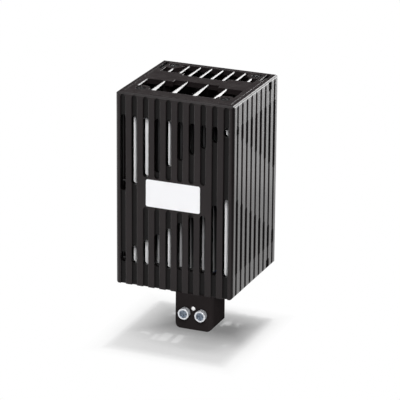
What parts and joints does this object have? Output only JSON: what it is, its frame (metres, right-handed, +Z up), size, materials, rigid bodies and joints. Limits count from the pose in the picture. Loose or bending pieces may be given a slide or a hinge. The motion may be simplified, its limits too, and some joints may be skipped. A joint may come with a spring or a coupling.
{
  "type": "enclosure heater",
  "caption": "Touch-safe enclosure heater: ribbed black housing with chevron air slots round a finned aluminium heat sink, screw terminals below and a spring clip for a mounting rail behind.",
  "frame": {"origin": "middle of the seat on the mounting rail, in the plane of the rail's front edges", "axes": "+Z up along the housing, +Y back towards the rail, +X to the right seen from the front"},
  "size_m": [0.07, 0.0733, 0.1328],
  "materials": {
    "housing_plastic": "fine moulded satin",
    "block_plastic": "moulded satin",
    "black_screw": "blackened",
    "white_plate": "printed film",
    "sink_aluminium": "extruded",
    "heating_ceramic": "fired",
    "contact_brass": "bare",
    "amber_film": "film",
    "brown_sleeve": "smooth",
    "blue_sleeve": "smooth",
    "plated_screw": "zinc plated",
    "white_lens": "glossy",
    "lamp_glass": "glossy",
    "spring_steel": "rolled"
  },
  "bodies": {
    "root": {"front_shell": "housing_plastic", "rear_panel": "housing_plastic", "top_cover": "housing_plastic", "bottom_cover": "housing_plastic", "top_cover_screws": "black_screw", "bottom_cover_screws": "black_screw", "rating_plate": "white_plate", "heat_sink": "sink_aluminium", "ptc_stones": "heating_ceramic", "front_electrode": "contact_brass", "rear_electrode": "contact_brass", "insulation_film": "amber_film", "pressure_plate": "sink_aluminium", "live_lead": "brown_sleeve", "neutral_lead": "blue_sleeve", "terminal_block": "block_plastic", "live_clamp": "contact_brass", "neutral_clamp": "contact_brass", "live_terminal_screw": "plated_screw", "neutral_terminal_screw": "plated_screw", "indicator_lens": "white_lens", "indicator_lamp": "lamp_glass", "rail_clip": "spring_steel", "rail_clip_screws": "plated_screw"}
  },
  "joints": []
}
